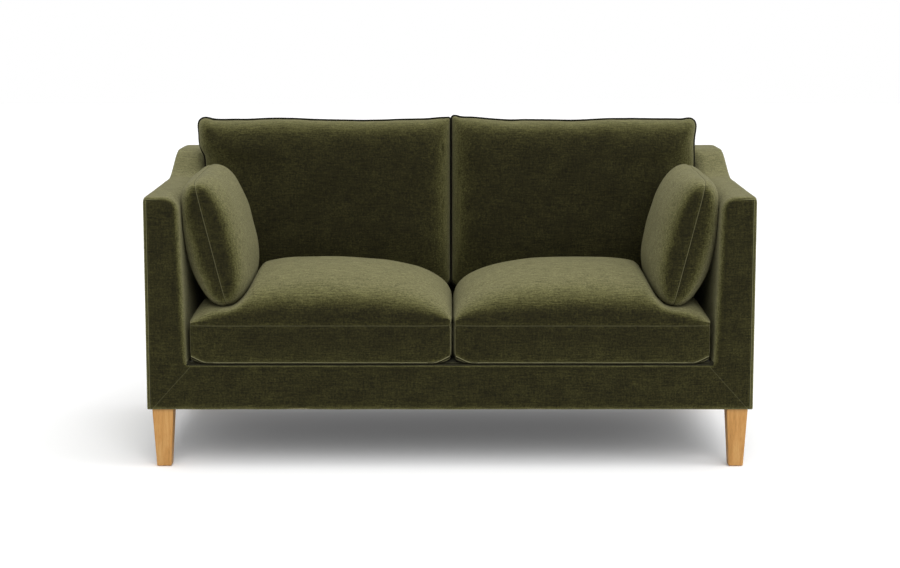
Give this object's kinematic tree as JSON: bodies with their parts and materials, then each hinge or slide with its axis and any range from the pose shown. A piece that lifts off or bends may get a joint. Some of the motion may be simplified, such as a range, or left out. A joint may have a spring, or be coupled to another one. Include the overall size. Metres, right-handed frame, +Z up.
{
  "type": "two_seat_upholstered_settee",
  "caption": "Two-seat velvet settee with swooping arms, loose seat and back cushions, arm bolsters and tapered oak legs",
  "frame": {"origin": "on the floor under the middle of the settee", "axes": "x along the width, y from the front to the back, z up; the settee faces -y"},
  "size_m": [1.65, 0.89, 0.9228],
  "materials": {
    "velvet_olive": "olive green velvet, short pile",
    "cloth_olive": "plain woven platform cloth and zip tape",
    "oak": "natural oak, matt oil",
    "hardwood": "sawn beech, unfinished",
    "plywood": "birch plywood and hardboard, unfinished",
    "foam": "soft upholstery foam",
    "wadding": "white fibre wadding",
    "steel": "plain steel",
    "black_cloth": "thin black non-woven cloth",
    "glide_black": "black plastic",
    "webbing": "woven elastic webbing"
  },
  "bodies": {
    "settee_frame": {"frame_front_rail": "hardwood", "frame_back_rail": "hardwood", "frame_side_rail_left": "hardwood", "frame_side_rail_right": "hardwood", "frame_stretchers": "hardwood", "frame_corner_blocks": "hardwood", "spring_cleat_front": "hardwood", "spring_cleat_back": "hardwood", "seat_springs": "steel", "spring_clips": "steel", "spring_tie_wires": "steel", "seat_deck_pad": "wadding", "seat_deck_cloth": "cloth_olive", "front_rail_foam": "foam", "front_rail_cover": "velvet_olive", "dust_cover": "black_cloth", "arm_cover_left": "velvet_olive", "arm_cover_right": "velvet_olive", "arm_foam_left": "foam", "arm_foam_right": "foam", "arm_panels_left": "plywood", "arm_panels_right": "plywood", "arm_posts_left": "hardwood", "arm_posts_right": "hardwood", "arm_rails_left": "hardwood", "arm_rails_right": "hardwood", "arm_bolts": "steel", "back_cover": "velvet_olive", "back_foam": "foam", "back_posts": "hardwood", "back_top_rails": "hardwood", "back_lower_rail": "hardwood", "back_cap_board": "plywood", "back_webbing": "webbing", "back_hardboard": "plywood", "leg_front_left": "oak", "leg_front_right": "oak", "leg_back_left": "oak", "leg_back_right": "oak", "leg_plates": "steel", "leg_hanger_bolts": "steel", "leg_glides": "glide_black"},
    "seat_cushion_left": {"seat_cushion_cover_left": "velvet_olive", "seat_cushion_foam_left": "foam", "seat_cushion_zip_left": "cloth_olive"},
    "seat_cushion_right": {"seat_cushion_cover_right": "velvet_olive", "seat_cushion_foam_right": "foam", "seat_cushion_zip_right": "cloth_olive"},
    "back_cushion_left": {"back_cushion_cover_left": "velvet_olive", "back_cushion_fill_left": "wadding", "back_cushion_welt_left": "velvet_olive"},
    "back_cushion_right": {"back_cushion_cover_right": "velvet_olive", "back_cushion_fill_right": "wadding", "back_cushion_welt_right": "velvet_olive"},
    "bolster_left": {"bolster_cover_left": "velvet_olive", "bolster_fill_left": "wadding"},
    "bolster_right": {"bolster_cover_right": "velvet_olive", "bolster_fill_right": "wadding"}
  },
  "joints": [
    {"name": "seat_cushion_left_lift", "type": "slide", "parent": "settee_frame", "child": "seat_cushion_left", "axis": [0, 0, 1], "range_m": [0, 0.6]},
    {"name": "seat_cushion_right_lift", "type": "slide", "parent": "settee_frame", "child": "seat_cushion_right", "axis": [0, 0, 1], "range_m": [0, 0.6]},
    {"name": "back_cushion_left_lift", "type": "slide", "parent": "seat_cushion_left", "child": "back_cushion_left", "axis": [0, 0.1305, 0.9914], "range_m": [0, 0.45]},
    {"name": "back_cushion_right_lift", "type": "slide", "parent": "seat_cushion_right", "child": "back_cushion_right", "axis": [0, 0.1305, 0.9914], "range_m": [0, 0.45]},
    {"name": "bolster_left_lift", "type": "slide", "parent": "seat_cushion_left", "child": "bolster_left", "axis": [0, 0, 1], "range_m": [0, 0.4]},
    {"name": "bolster_right_lift", "type": "slide", "parent": "seat_cushion_right", "child": "bolster_right", "axis": [0, 0, 1], "range_m": [0, 0.4]}
  ]
}
